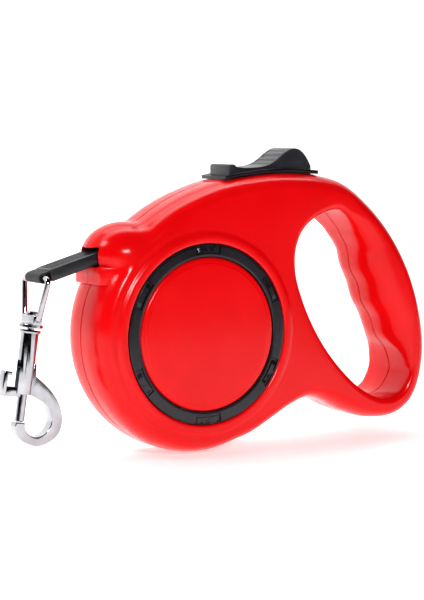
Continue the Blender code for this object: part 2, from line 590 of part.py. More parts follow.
def snap_hook():
    pin = rods("swivel_pin", down([(2.5, 12.9, EYE_BLOCK[0] - GAP)]), "Z", sides=16)
    shank = rods("swivel_pin_shank", down([(1.4, 13.5, BORE_TOP - 0.2)]), "Z", cutter=True, sides=16)
    on_snap(join(pin, snap_cutter(shank)), CHROME, 0.08)

    body = rods("hook_body", down([(BARREL_RADIUS, BARREL_TOP - 0.7, BARREL_END)]), "Z")
    collar = rods("hook_collar", down([(4.3, FLANGE_TOP, BARREL_TOP)]), "Z", cutter=True)
    lead_in, lead_out = [(1.8, 44.9), (2.4, 33.0)], [(3.3, 33.0)]
    outline = smooth(HOOK_OUTER, 2, closed=False) + smooth(HOOK_INNER, 2, closed=False) + lead_in + lead_out
    ring = flat("hook_ring", [[(x, -w) for x, w in outline]], HOOK_HALF_WIDTH, cutter=True)
    bore = rods("hook_bore", down([(BORE_RADIUS, BORE_TOP, 50)]), "Z", cutter=True, sides=20)
    pin_hole = rods("hook_pin_hole", down([(1.4 + GAP, 15, 26)]), "Z", cutter=True, sides=16)
    lug_slot = box("hook_lug_slot", (-6, -1.5, -47), (0, 1.5, -32.2), cutter=True)
    for piece in (collar, ring, bore, pin_hole, lug_slot):
        snap_cutter(piece)
    on_snap(cut(join(join(body, collar), ring), bore, pin_hole, lug_slot), CHROME, 0.08)

    bolt = rods("hook_bolt", down([(BOLT_RADIUS, BOLT_TOP, BOLT_END)]), "Z", sides=20)
    arm = box("hook_bolt_arm", (-8.6, -1.1, -46.4), (0, 1.1, -42.6), cutter=True)
    pad = box("hook_bolt_pad", (-9.8, -2.2, -46.4), (-7.9, 2.2, -36.6), cutter=True, bevel=0.4)
    lip = box("hook_bolt_lip", (-8.5, -2.0, -38.1), (-6.2, 2.0, -36.8), cutter=True)
    for piece in (arm, pad, lip):
        join(bolt, snap_cutter(piece))
    on_snap(bolt, CHROME, 0.1)

    top, bottom, turns, per_turn = BORE_TOP + 0.8, BOLT_TOP - 0.7, 4, 8
    count = turns * per_turn
    coil = [(1.55 * cos(2 * pi * i / per_turn), 1.55 * sin(2 * pi * i / per_turn),
             -(top + (bottom - top) * i / count)) for i in range(count + 1)]
    on_snap(wire("bolt_spring", coil, 0.25), STEEL, 0.3)


# ---------------------------------------------------------------- brake

def brake():
    xs = [BEZEL[0] + (BEZEL[1] - BEZEL[0]) * i / 14 for i in range(15)]
    lower = [(x, top_height(x) + GAP) for x in xs]
    upper = [(x, top_height(x) + GAP + BEZEL[3]) for x in reversed(xs)]
    bezel = flat("button_bezel", [lower + upper], BEZEL[2])
    way = box("bezel_way", (BEZEL_SLOT[0], -BEZEL_SLOT[2], 50), (BEZEL_SLOT[1], BEZEL_SLOT[2], 80), cutter=True)
    finish(cut(bezel, way), BLACK, 0.3)

    x0, z0 = BUTTON_PIVOT
    outline = [(x - x0, z - z0) for x, z in BUTTON_TOP + BUTTON_BOTTOM]
    button = flat("brake_button", [outline], BUTTON_HALF_WIDTH, 0.5, -0.5)
    stem = box("brake_stem", (STEM[0] - x0, -3, STEM[2] - z0), (STEM[1] - x0, 3, 3), cutter=True)
    stem.location = (x0 * MM, 0, z0 * MM)
    pin_hole = rods("brake_pin_hole", [(1.0 + GAP, -20, 20, BUTTON_PIVOT)], cutter=True, sides=16)
    pin_gap = box("brake_ear_gap", (x0 - 3.5, -5.6, 50), (x0 + 3.5, -3.4, z0 + 2.6), cutter=True)
    pin_gap_2 = box("brake_ear_gap_2", (x0 - 3.5, 3.4, 50), (x0 + 3.5, 5.6, z0 + 2.6), cutter=True)
    cut(join(button, stem), pin_hole, pin_gap, pin_gap_2)
    finish(button, BLACK, 0.28, at=(x0, 0, z0))

    back, bottom, top, half = CARRIAGE
    slider = box("lock_slider", (x0 - 2.2, -half, bottom), (back, half, top))
    stem_way = box("lock_stem_way", (STEM[0] - 2.2, -3.6, 45), (STEM[1] + 1.6, 3.6, 60), cutter=True)
    ears = [box(f"lock_ear_{i}", (x0 - 2.2, min(y, y + 1.4), bottom + 0.3), (x0 + 2.2, max(y, y + 1.4), z0 + 1.9),
                cutter=True) for i, y in enumerate((-5.2, 3.8))]
    pin_way = rods("lock_pin_way", [(1.0 + GAP, -20, 20, BUTTON_PIVOT)], cutter=True, sides=16)
    for ear in ears:
        join(slider, ear)
    finish(cut(slider, stem_way, pin_way), NYLON, 0.4)
    pin = rods("button_pin", [(1.0, -5.2, 5.2, BUTTON_PIVOT)], sides=12)
    finish(pin, STEEL, 0.35, 1.0)

    turns, per_turn, low, high = 4, 8, top + 0.8, 58.8
    count = turns * per_turn
    coil = [(45 + 2.2 * cos(2 * pi * i / per_turn), 2.2 * sin(2 * pi * i / per_turn),
             low + (high - low) * i / count) for i in range(count + 1)]
    finish(wire("button_spring", coil, 0.35), STEEL, 0.3, 1.0)

    x1, z1 = PAWL_PIVOT
    pawl = flat("brake_pawl", [[(x - x1, z - z1) for x, z in PAWL_OUTLINE]], PAWL_HALF_WIDTH)
    eye = rods("pawl_eye", [(3.2, -PAWL_HALF_WIDTH, PAWL_HALF_WIDTH, PAWL_PIVOT)], cutter=True, sides=20)
    tip = flat("pawl_tip", [PAWL_TIP], PAWL_TIP_HALF_WIDTH, cutter=True)
    pawl_hole = rods("pawl_hole", [(PAWL_PIN_RADIUS + GAP, -20, 20, PAWL_PIVOT)],
                     cutter=True, sides=16)
    finish(cut(join(join(pawl, eye), tip), pawl_hole), NYLON, 0.4, at=(x1, 0, z1))
    pin = rods("pawl_pin", [(PAWL_PIN_RADIUS, -PIN_END, PIN_END, PAWL_PIVOT)], sides=16)
    finish(pin, STEEL, 0.35, 1.0)

    turns, per_turn, radius = 2, 8, 2.3
    count = turns * per_turn
    coil = [(x1 + radius * cos(2 * pi * i / per_turn), 7.2 + 1.2 * i / count,
             z1 + radius * sin(2 * pi * i / per_turn)) for i in range(count + 1)]
    tail = [(x1 + radius, 7.2, z1 - 3.2), (x1 + radius, 7.2, z1 - 1.6)]
    finish(wire("pawl_spring", tail + coil, 0.28), STEEL, 0.3, 1.0)


CENTRE = start_scene()
half_casing("left_shell", -1)
half_casing("right_shell", 1)
side_trim("left", -1)
side_trim("right", 1)
case_screws()
mouth_guide()
reel()
power_spring()
axle()
tape_run()
swivel_eye()
snap_hook()
brake()
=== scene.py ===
# %% [markdown]
# # A retractable tape leash
# A red moulded casing holds a sprung reel of flat tape. The tape ends in a stiff black sleeve with a
# chrome swivel snap. The engineering model is loaded first and never changed. Each piece that shows is
# then made again as a smooth surface in the same place, and takes over the plain solid's job of looking
# right.

# %% Load the frame
import json
import bpy
import bmesh
import numpy as np
from math import atan2, cos, pi, radians, sin
from mathutils import Matrix, Vector


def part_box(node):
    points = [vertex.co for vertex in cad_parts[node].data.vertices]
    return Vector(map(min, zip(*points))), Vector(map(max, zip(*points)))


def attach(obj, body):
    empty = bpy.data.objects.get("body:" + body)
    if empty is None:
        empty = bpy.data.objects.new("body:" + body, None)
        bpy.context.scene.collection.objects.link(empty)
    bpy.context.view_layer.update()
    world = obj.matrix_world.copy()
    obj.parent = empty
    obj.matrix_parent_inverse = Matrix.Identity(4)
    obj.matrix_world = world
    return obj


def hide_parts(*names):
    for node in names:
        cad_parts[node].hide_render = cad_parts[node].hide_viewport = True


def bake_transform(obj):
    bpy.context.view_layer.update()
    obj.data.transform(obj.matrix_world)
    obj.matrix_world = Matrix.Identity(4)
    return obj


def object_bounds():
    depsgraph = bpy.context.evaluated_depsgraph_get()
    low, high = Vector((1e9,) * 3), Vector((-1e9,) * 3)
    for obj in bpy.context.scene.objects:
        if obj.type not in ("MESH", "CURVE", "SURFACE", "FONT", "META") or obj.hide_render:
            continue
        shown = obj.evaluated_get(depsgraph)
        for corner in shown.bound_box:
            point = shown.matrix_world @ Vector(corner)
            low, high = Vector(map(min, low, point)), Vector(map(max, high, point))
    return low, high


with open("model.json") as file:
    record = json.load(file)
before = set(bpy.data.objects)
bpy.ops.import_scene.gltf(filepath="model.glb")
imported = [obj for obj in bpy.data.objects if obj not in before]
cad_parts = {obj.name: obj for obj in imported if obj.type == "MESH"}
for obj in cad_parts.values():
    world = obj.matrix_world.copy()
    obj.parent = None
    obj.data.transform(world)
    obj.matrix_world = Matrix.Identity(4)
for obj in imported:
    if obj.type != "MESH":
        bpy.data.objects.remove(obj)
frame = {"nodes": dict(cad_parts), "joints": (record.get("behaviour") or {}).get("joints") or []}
cad_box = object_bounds()
nodes = frame["nodes"]
MM = 0.001
coil_low, coil_high = (Vector(c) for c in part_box("wound_tape"))
CENTRE = (coil_low + coil_high) / 2
PIVOTS = {j["name"]: Vector(j["pos_m"]) for j in frame["joints"] if "pos_m" in j}
print("reel's centre", [round(c, 4) for c in CENTRE], "pieces", len(nodes))

# %% [markdown]
# ## Camera
# The camera comes first, so that every later step can be judged from the same place. A long lens keeps
# the casing's circles nearly true.

# %% Camera
camera = bpy.data.objects.new("camera", bpy.data.cameras.new("camera"))
bpy.context.scene.collection.objects.link(camera)
camera.location = (-0.5021, -0.6778, 0.07985)
AIM = Vector((-0.08392, 0, 0.00384))
camera.rotation_euler = (AIM - camera.location).to_track_quat("-Z", "Y").to_euler()
camera.data.lens = 118.0
camera.data.sensor_width = 36.0
bpy.context.scene.camera = camera

# %% [markdown]
# ## Finishes
# Moulded plastic is never quite flat: its colour drifts a little, and its gloss has a fine ripple that
# is called orange peel. Each finish starts as a Principled shader with its even values on the shader's
# own sockets. Noise then drives only what really varies: colour, roughness and a small bump.


# %% Helpers for finishes
def finish_named(name, colour, roughness, metallic=0.0, coat=0.0, specular=0.5):
    material = bpy.data.materials.new(name)
    material.use_nodes = True
    shader = material.node_tree.nodes["Principled BSDF"]
    shader.inputs["Base Color"].default_value = (*colour, 1)
    shader.inputs["Roughness"].default_value = roughness
    shader.inputs["Metallic"].default_value = metallic
    shader.inputs["Specular IOR Level"].default_value = specular
    shader.inputs["Coat Weight"].default_value = coat
    shader.inputs["Coat Roughness"].default_value = 0.05
    return material


def noise_on(material, scale, detail=3.0, stretch=(1, 1, 1), turn=0.0):
    """A noise in Object coordinates, which stretch can draw out into streaks."""
    tree = material.node_tree
    place = tree.nodes.new("ShaderNodeTexCoord")
    mapping = tree.nodes.new("ShaderNodeMapping")
    mapping.inputs["Scale"].default_value = stretch
    mapping.inputs["Rotation"].default_value = (0, turn, 0)
    noise = tree.nodes.new("ShaderNodeTexNoise")
    noise.inputs["Scale"].default_value = scale
    noise.inputs["Detail"].default_value = detail
    tree.links.new(place.outputs["Object"], mapping.inputs["Vector"])
    tree.links.new(mapping.outputs["Vector"], noise.inputs["Vector"])
    return noise.outputs["Fac"]


def tint(material, value, dark, light, low=0.35, high=0.65):
    tree = material.node_tree
    ramp = tree.nodes.new("ShaderNodeValToRGB")
    ramp.color_ramp.elements[0].position, ramp.color_ramp.elements[1].position = low, high
    ramp.color_ramp.elements[0].color, ramp.color_ramp.elements[1].color = (*dark, 1), (*light, 1)
    tree.links.new(value, ramp.inputs["Fac"])
    tree.links.new(ramp.outputs["Color"], tree.nodes["Principled BSDF"].inputs["Base Color"])


def gloss(material, value, low, high):
    tree = material.node_tree
    span = tree.nodes.new("ShaderNodeMapRange")
    span.inputs["To Min"].default_value, span.inputs["To Max"].default_value = low, high
    tree.links.new(value, span.inputs["Value"])
    tree.links.new(span.outputs["Result"], tree.nodes["Principled BSDF"].inputs["Roughness"])


def relief(material, value, strength, depth):
    tree = material.node_tree
    bump = tree.nodes.new("ShaderNodeBump")
    bump.inputs["Strength"].default_value = strength
    bump.inputs["Distance"].default_value = depth
    tree.links.new(value, bump.inputs["Height"])
    tree.links.new(bump.outputs["Normal"], tree.nodes["Principled BSDF"].inputs["Normal"])


def bands_on(material, scale, direction, turn=0.0, kind="BANDS"):
    """Straight or ring-shaped bands in Object coordinates, about the reel's centre."""
    tree = material.node_tree
    place = tree.nodes.new("ShaderNodeTexCoord")
    mapping = tree.nodes.new("ShaderNodeMapping")
    mapping.vector_type = "TEXTURE"
    mapping.inputs["Location"].default_value = CENTRE
    mapping.inputs["Rotation"].default_value = (0, turn, 0)
    wave = tree.nodes.new("ShaderNodeTexWave")
    wave.wave_type = kind
    if kind == "BANDS":
        wave.bands_direction = direction
    else:
        wave.rings_direction = direction
    wave.inputs["Scale"].default_value = scale
    tree.links.new(place.outputs["Object"], mapping.inputs["Vector"])
    tree.links.new(mapping.outputs["Vector"], wave.inputs["Vector"])
    return wave.outputs["Fac"]


def product(material, a, b, operation="MULTIPLY"):
    tree = material.node_tree
    math = tree.nodes.new("ShaderNodeMath")
    math.operation = operation
    tree.links.new(a, math.inputs[0])
    tree.links.new(b, math.inputs[1])
    return math.outputs[0]


# %% The plastics
TAPE_SLOPE = radians(16)

red_abs = finish_named("red_abs", (0.82, 0.002, 0.004), 0.16, specular=0.22)
tint(red_abs, noise_on(red_abs, 30), (0.78, 0.0015, 0.003), (0.86, 0.003, 0.005))
gloss(red_abs, noise_on(red_abs, 260), 0.13, 0.2)
relief(red_abs, noise_on(red_abs, 420, 1.0), 0.05, 0.0002)

black_abs = finish_named("black_abs", (0.009, 0.009, 0.012), 0.16, specular=0.4)
tint(black_abs, noise_on(black_abs, 90), (0.006, 0.005, 0.008), (0.014, 0.012, 0.017))
gloss(black_abs, noise_on(black_abs, 500), 0.1, 0.22)
relief(black_abs, noise_on(black_abs, 900, 4.0), 0.12, 0.0001)

button_plastic = finish_named("button_plastic", (0.02, 0.02, 0.025), 0.3)
tint(button_plastic, noise_on(button_plastic, 120), (0.014, 0.014, 0.019), (0.028, 0.028, 0.034))
gloss(button_plastic, noise_on(button_plastic, 700), 0.24, 0.38)
relief(button_plastic, noise_on(button_plastic, 1500, 4.0), 0.15, 0.0001)

sleeve_plastic = finish_named("sleeve_plastic", (0.015, 0.015, 0.017), 0.3)
sleeve_grain = noise_on(sleeve_plastic, 500, 4.0, (0.12, 1, 1), -TAPE_SLOPE)
tint(sleeve_plastic, sleeve_grain, (0.006, 0.006, 0.008), (0.02, 0.02, 0.024))
gloss(sleeve_plastic, sleeve_grain, 0.2, 0.42)
relief(sleeve_plastic, sleeve_grain, 0.25, 0.0001)

acetal = finish_named("acetal", (0.72, 0.71, 0.68), 0.45)
tint(acetal, noise_on(acetal, 60), (0.66, 0.65, 0.61), (0.76, 0.75, 0.72))
gloss(acetal, noise_on(acetal, 400), 0.38, 0.52)
relief(acetal, noise_on(acetal, 1200), 0.1, 0.0001)

# %% The metals
chrome = finish_named("chrome", (0.5, 0.5, 0.53), 0.06, 1.0)
tint(chrome, noise_on(chrome, 150), (0.44, 0.44, 0.47), (0.56, 0.56, 0.59))
gloss(chrome, noise_on(chrome, 350), 0.04, 0.12)
relief(chrome, noise_on(chrome, 250, 2.0), 0.12, 0.0002)

zinc_steel = finish_named("zinc_steel", (0.62, 0.62, 0.64), 0.3, 1.0)
tint(zinc_steel, noise_on(zinc_steel, 200), (0.52, 0.52, 0.55), (0.68, 0.68, 0.69))
gloss(zinc_steel, noise_on(zinc_steel, 900), 0.24, 0.42)
relief(zinc_steel, noise_on(zinc_steel, 2000), 0.1, 0.0001)

spring_steel = finish_named("spring_steel", (0.42, 0.43, 0.46), 0.28, 1.0)
spring_streaks = noise_on(spring_steel, 600, 3.0, (1, 0.15, 1))
tint(spring_steel, spring_streaks, (0.3, 0.32, 0.38), (0.5, 0.5, 0.52))
gloss(spring_steel, spring_streaks, 0.2, 0.38)
relief(spring_steel, spring_streaks, 0.15, 0.00005)

# %% [markdown]
# The tape is nylon webbing. Its weave is two sets of fine bands that cross, one along the tape and one
# across it, and their product gives the little hills of the threads. A long coil shows its turns as
# rings on its sides, so the coil has a finish of its own.

# %% The tape
THREADS = 320
woven_tape = finish_named("woven_tape", (0.015, 0.015, 0.017), 0.75)
weave = product(woven_tape, bands_on(woven_tape, THREADS, "X", TAPE_SLOPE), bands_on(woven_tape, THREADS, "Y"))
tint(woven_tape, weave, (0.006, 0.006, 0.007), (0.04, 0.04, 0.044), 0.1, 0.9)
gloss(woven_tape, weave, 0.6, 0.8)
relief(woven_tape, weave, 0.7, 0.0002)

coiled_tape = finish_named("coiled_tape", (0.015, 0.015, 0.017), 0.75)
turns = product(coiled_tape, bands_on(coiled_tape, 210, "Y", 0, "RINGS"), noise_on(coiled_tape, 900), "ADD")
tint(coiled_tape, turns, (0.005, 0.005, 0.006), (0.045, 0.045, 0.05), 0.5, 1.4)
gloss(coiled_tape, turns, 0.6, 0.8)
relief(coiled_tape, turns, 0.6, 0.0002)
print("finishes", len(bpy.data.materials))

# %% [markdown]
# ## Helpers for shapes
# All shapes below are drawn in millimetres about the reel's centre, with X towards the grip and Z up, and
# the last step turns them into metres in the frame. A piece then rides on its body and stands for its
# solid.


# %% Finishing a piece
def in_frame(bm, turn=None):
    """Millimetres about the reel's centre become metres in the frame."""
    local = turn or Matrix.Identity(4)
    bmesh.ops.transform(bm, matrix=Matrix.Translation(CENTRE) @ Matrix.Scale(MM, 4) @ local, verts=bm.verts)


def make_piece(name, bm, material, body, stands_for=(), sharp=32, turn=None):
    in_frame(bm, turn)
    mesh = bpy.data.meshes.new(name)
    bm.to_mesh(mesh)
    bm.free()
    mesh.shade_smooth()
    mesh.set_sharp_from_angle(angle=radians(sharp))
    mesh.materials.append(material)
    obj = bpy.data.objects.new(name, mesh)
    bpy.context.scene.collection.objects.link(obj)
    if body:
        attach(obj, body)
    if stands_for:
        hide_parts(*stands_for)
    print(name, len(mesh.polygons), "faces")
    return obj


def spun(profile, axis=(0, 1, 0), steps=128, closed=False):
    """A profile of (radius, height) turned round the axis."""
    bm = bmesh.new()
    points = [bm.verts.new((r, h, 0) if axis[1] else (r, 0, h)) for r, h in profile]
    pairs = list(zip(points, points[1:])) + ([(points[-1], points[0])] if closed else [])
    edges = [bm.edges.new(pair) for pair in pairs]
    bmesh.ops.spin(bm, geom=points + edges, cent=(0, 0, 0), axis=axis, angle=2 * pi, steps=steps,
                   use_merge=True)
    bmesh.ops.remove_doubles(bm, verts=bm.verts, dist=0.0001)
    bmesh.ops.recalc_face_normals(bm, faces=bm.faces)
    return bm


def slab(points, half, bevel=0.0, segments=3, mid=0.0):
    """A flat outline in X and Z, extruded to half its width each side of mid, with its rims rounded."""
    bm = bmesh.new()
    face = bm.faces.new([bm.verts.new((x, mid - half, z)) for x, z in points])
    made = bmesh.ops.extrude_face_region(bm, geom=[face])["geom"]
    bmesh.ops.translate(bm, vec=(0, 2 * half, 0), verts=[v for v in made if isinstance(v, bmesh.types.BMVert)])
    bmesh.ops.recalc_face_normals(bm, faces=bm.faces)
    if bevel:
        rims = [e for e in bm.edges if abs(e.verts[0].co.y - e.verts[1].co.y) < 0.001]
        bmesh.ops.bevel(bm, geom=rims, offset=bevel, segments=segments, profile=0.5, affect="EDGES",
                        material=-1, clamp_overlap=True)
    return bm


def block(low, high, bevel=0.0, segments=2):
    """A box between two corners with rounded edges."""
    bm = bmesh.new()
    low, high = Vector(low), Vector(high)
    shape = Matrix.Translation((low + high) / 2) @ Matrix.Diagonal((*(high - low), 1))
    bmesh.ops.create_cube(bm, size=1, matrix=shape)
    if bevel:
        bmesh.ops.bevel(bm, geom=bm.edges[:], offset=bevel, segments=segments, profile=0.5, affect="EDGES",
                        material=-1)
    return bm


def rod(radius, start, end, axis="Y", at=(0, 0), sides=32):
    bm = bmesh.new()
    bmesh.ops.create_cone(bm, cap_ends=True, segments=sides, radius1=radius, radius2=radius, depth=end - start)
    middle = (start + end) / 2
    if axis == "Y":
        bmesh.ops.rotate(bm, matrix=Matrix.Rotation(radians(90), 3, "X"), verts=bm.verts)
        bmesh.ops.translate(bm, vec=(at[0], middle, at[1]), verts=bm.verts)
    else:
        bmesh.ops.translate(bm, vec=(at[0], at[1], middle), verts=bm.verts)
    return bm


def turned_about(bm, angle, pivot):
    """Turns a shape about Y round a point (x, z)."""
    hinge = Matrix.Translation((pivot[0], 0, pivot[1]))
    bmesh.ops.transform(bm, matrix=hinge @ Matrix.Rotation(angle, 4, "Y") @ hinge.inverted(), verts=bm.verts)
    return bm


def combined(bm, other, operation):
    """Boolean of two closed shapes, as a new bmesh."""
    pair = []
    for shape in (bm, other):
        mesh = bpy.data.meshes.new("shape")
        shape.to_mesh(mesh)
        shape.free()
        obj = bpy.data.objects.new("shape", mesh)
        bpy.context.scene.collection.objects.link(obj)
        pair.append(obj)
    boolean = pair[0].modifiers.new("boolean", "BOOLEAN")
    boolean.operation, boolean.solver, boolean.object = operation, "EXACT", pair[1]
    evaluated = pair[0].evaluated_get(bpy.context.evaluated_depsgraph_get())
    result = bmesh.new()
    result.from_mesh(evaluated.to_mesh())
    evaluated.to_mesh_clear()
    for obj in pair:
        mesh = obj.data
        bpy.data.objects.remove(obj)
        bpy.data.meshes.remove(mesh)
    return result


# %% [markdown]
# ## The casing's outline
# The casing is one flat shape seen from the side: a round reel housing, an arm to a curved grip, and a
# finger opening between them. A few control points are enough, because a Catmull-Rom curve passes
# through each of them smoothly. The curve is then cut into even steps, which keeps the mesh's strips
# regular and its reflections calm.

# %% Outline points
TOP_LINE = [(58, 62.2), (49, 63.1), (39, 63.4), (29, 62.9), (19.5, 61.8), (10, 60.2),
            (0.7, 57.4), (-8.6, 53.7), (-17.5, 48.9), (-26, 42.6)]
BODY_RADIUS = 48.4
RIM = [(BODY_RADIUS * cos(radians(a)), BODY_RADIUS * sin(radians(a))) for a in np.linspace(140, 292, 10)]
ARM_AND_GRIP = [(25, -42.6), (34, -38), (43, -33.3), (52, -30.5), (61, -32.4), (72, -37.4), (83.5, -41),
                (95, -41.3), (103.5, -37), (109, -28.5), (111.7, -16), (111.2, -3.5), (107.9, 10.7),
                (102.5, 24), (94.4, 37), (84, 48.5), (71, 58.4)]
OPENING_LEFT = [(66.5, 46.9), (60, 47.4), (52.6, 44.6), (46.6, 39.4), (43.4, 31.5), (43.5, 22), (46.6, 12),
                (51.5, 1.5), (58.2, -9), (66.5, -18.7), (76, -27), (86, -32.1), (94, -31.8), (99.4, -27.4)]
GRIP_LOW, GRIP_HIGH = np.array((101.8, -20.0)), np.array((75.4, 37.0))
GRIP_BULGE, GROOVES, GROOVE_DEPTH = 2.0, 4, 1.15


def curve_through(points, per_span=12):
    """Points on a closed Catmull-Rom curve."""
    p = np.array(points, float)
    a, b, c, d = np.roll(p, 1, 0), p, np.roll(p, -1, 0), np.roll(p, -2, 0)
    rows = [0.5 * (2 * b + (c - a) * t + (2 * a - 5 * b + 4 * c - d) * t ** 2
                   + (3 * b - a - 3 * c + d) * t ** 3)
            for t in np.arange(per_span) / per_span]
    return np.stack(rows, 1).reshape(-1, 2)


def even_loop(points, count):
    """The same closed line in equal steps."""
    closed = np.vstack((points, points[:1]))
    lengths = np.concatenate(([0], np.cumsum(np.linalg.norm(np.diff(closed, axis=0), axis=1))))
    at = np.arange(count) / count * lengths[-1]
    return np.stack((np.interp(at, lengths, closed[:, 0]), np.interp(at, lengths, closed[:, 1])), 1)


def outward_of(points):
    """Unit normals of a closed loop that point away from its inside."""
    along = np.roll(points, -1, 0) - np.roll(points, 1, 0)
    normal = np.stack((along[:, 1], -along[:, 0]), 1) / np.linalg.norm(along, axis=1)[:, None]
    area = np.sum(points[:, 0] * np.roll(points[:, 1], -1) - np.roll(points[:, 0], -1) * points[:, 1])
    return normal if area > 0 else -normal


def soften(values, reach):
    """A running mean round a closed loop."""
    kernel = np.ones(2 * reach + 1) / (2 * reach + 1)
    return np.convolve(np.concatenate((values[-reach:], values, values[:reach])), kernel, "valid")


OUTER = even_loop(curve_through(TOP_LINE + RIM + ARM_AND_GRIP), 460)
OPENING = even_loop(curve_through(OPENING_LEFT + [tuple(GRIP_LOW + (GRIP_HIGH - GRIP_LOW) * t
                                                        + np.array((-0.907, -0.42)) * GRIP_BULGE * sin(pi * t))
                                                  for t in (0.0, 0.2, 0.4, 0.6, 0.8, 1.0)]), 240)
print("outer loop", len(OUTER), "opening", len(OPENING))

# %% [markdown]
# ## Soft edges
# The rim is crowned: its section is a quarter ellipse about 12 mm wide and 6 mm deep. On the grip's
# inner side the turn is much wider, because fingers lie there, and four finger grooves run across it and
# fade out on the side. So each point of an outline has its own edge width, and the rows of the casing's
# skin follow a quarter ellipse of that width.

# %% Edge widths
HALF_WIDTH, PARTING, CHAMFER = 16.0, 0.15, 0.25
EDGE, CROWN, OPENING_EDGE, GRIP_EDGE, GRIP_DROP = 6.2, 12.0, 2.6, 11.0, 13.5
RIM_ROWS, TURN_ROWS = 6, 12

clearance = np.array([np.min(np.linalg.norm(OUTER - p, axis=1)) for p in OPENING])
grip_line = GRIP_HIGH - GRIP_LOW
grip_place = (OPENING - GRIP_LOW) @ grip_line / (grip_line @ grip_line)
grip_away = np.abs((OPENING - GRIP_LOW) @ np.array((grip_line[1], -grip_line[0]))) / np.linalg.norm(grip_line)
on_grip = (grip_place > -0.04) & (grip_place < 1.04) & (grip_away < 5)
opening_edge = soften(np.where(on_grip, GRIP_EDGE, OPENING_EDGE), 9)
opening_edge = np.minimum(opening_edge, clearance - EDGE - 0.5)
drop_shares = (1, GRIP_DROP / GRIP_EDGE)
opening_drop = opening_edge * np.interp(opening_edge, (OPENING_EDGE, GRIP_EDGE), drop_shares)
opening_inside = -outward_of(OPENING)
groove_depth = soften(np.where(on_grip, GROOVE_DEPTH * np.sin(GROOVES * pi * grip_place) ** 2, 0.0), 1)
print("narrowest band", round(float(clearance.min()), 1), "opening edge", opening_edge.min().round(2),
      "to", opening_edge.max().round(2))

# %% [markdown]
# ## The hood over the mouth
# The tape leaves under a rounded hood that swells out of the rim. It could be a sphere joined to the
# casing, but that leaves a sharp crease. Here each rim point moves outwards until it reaches the surface
# where an ellipsoid and the rim melt together. The melt width sets how soft the valley is.

# %% The hood's swelling
HOOD_CENTRE, HOOD_RADII, MELT = np.array((-29.0, 0.0, 32.0)), np.array((17.0, 15.9, 13.0)), 2.2
HOOD_SIZE = float(HOOD_RADII.mean())
REACHES = np.linspace(0, 14, 141)


def hood_reach(points, outward, y):
    """How far out each point of a row at y goes."""
    joined = []
    for reach in REACHES:
        q = points + outward * reach
        level = np.sqrt(((q[:, 0] - HOOD_CENTRE[0]) / HOOD_RADII[0]) ** 2 + (y / HOOD_RADII[1]) ** 2
                        + ((q[:, 1] - HOOD_CENTRE[2]) / HOOD_RADII[2]) ** 2)
        distance = (level - 1) * HOOD_SIZE
        share = np.clip(0.5 + 0.5 * (reach - distance) / MELT, 0, 1)
        joined.append(reach * (1 - share) + distance * share - MELT * share * (1 - share))
    joined = np.array(joined)
    last = len(REACHES) - 1 - np.argmax(joined[::-1] <= 0, axis=0)
    last = np.minimum(last, len(REACHES) - 2)
    index = np.arange(len(points))
    here, there = joined[last, index], joined[last + 1, index]
    return np.maximum(REACHES[last] + (REACHES[1] - REACHES[0]) * here / (here - there + 1e-9), 0)


# %% Rows of the skin
def row_places(rows, turns, drop):
    """(share of the edge width to step in, distance from the parting plane, share of the turn) per row."""
    places = [(None, PARTING, 0.0)]
    start = HALF_WIDTH - drop
    places += [(0.0, PARTING + CHAMFER + (start - PARTING - CHAMFER) * i / (rows - 1), 0.0)
               for i in range(rows)]
    for i in range(1, turns + 1):
        angle = pi / 2 * i / turns
        places.append((1 - cos(angle), start + drop * sin(angle), sin(angle)))
    return places


def next_row(bm, row, points):
    """Extrudes a closed row of vertices to its next places."""
    edges = [bm.edges.get(pair) for pair in zip(row, row[1:] + row[:1])]
    made = bmesh.ops.extrude_edge_only(bm, edges=edges)["geom"]
    fresh = {g for g in made if isinstance(g, bmesh.types.BMVert)}
    new = [next(e.other_vert(v) for e in v.link_edges if e.other_vert(v) in fresh) for v in row]
    for vert, point in zip(new, points):
        vert.co = point
    return new


def first_row(bm, points):
    row = [bm.verts.new(p) for p in points]
    for pair in zip(row, row[1:] + row[:1]):
        bm.edges.new(pair)
    return row


def outer_points(place):
    inset, y, _ = place
    outward = outward_of(OUTER)
    base = OUTER - outward * (CHAMFER if inset is None else inset * EDGE)
    base = base + outward * hood_reach(base, outward, y)[:, None]
    return [(x, -y, z) for x, z in base]


def opening_points(index, rows, turns):
    """One row of the opening's skin. Each point has its own edge width and depth."""
    points = []
    traits = zip(OPENING, opening_inside, opening_edge, opening_drop, groove_depth)
    for p, inside, width, drop, groove in traits:
        inset, y, turn = row_places(rows, turns, drop)[index]
        step = -CHAMFER if inset is None else -inset * width
        cut = p + inside * step - inside * groove * (1 - turn) ** 0.6
        points.append((cut[0], -y, cut[1]))
    return points


# %% [markdown]
# ## One half of the casing
# The skin starts at the parting plane, as a chamfer that becomes the fine line round the rim. It rises
# row by row to the flat side. The raised land round the ring and the ring's pocket are a profile spun
# round the reel's axis. A triangle fill joins the three loops on the flat side, and solidify gives the
# skin its 1.6 mm wall.

# %% Skin of the left half
LAND = [(41.6, 16.0), (41.2, 16.02), (40.8, 16.12), (40.4, 16.3), (40.0, 16.55), (39.6, 16.78), (39.1, 16.95),
        (38.5, 17.0), (37.0, 17.0), (36.7, 16.93), (36.45, 16.75), (36.35, 16.5), (36.3, 16.2), (36.3, 14.6),
        (35.8, 14.6), (0, 14.6)]
WALL = 1.6


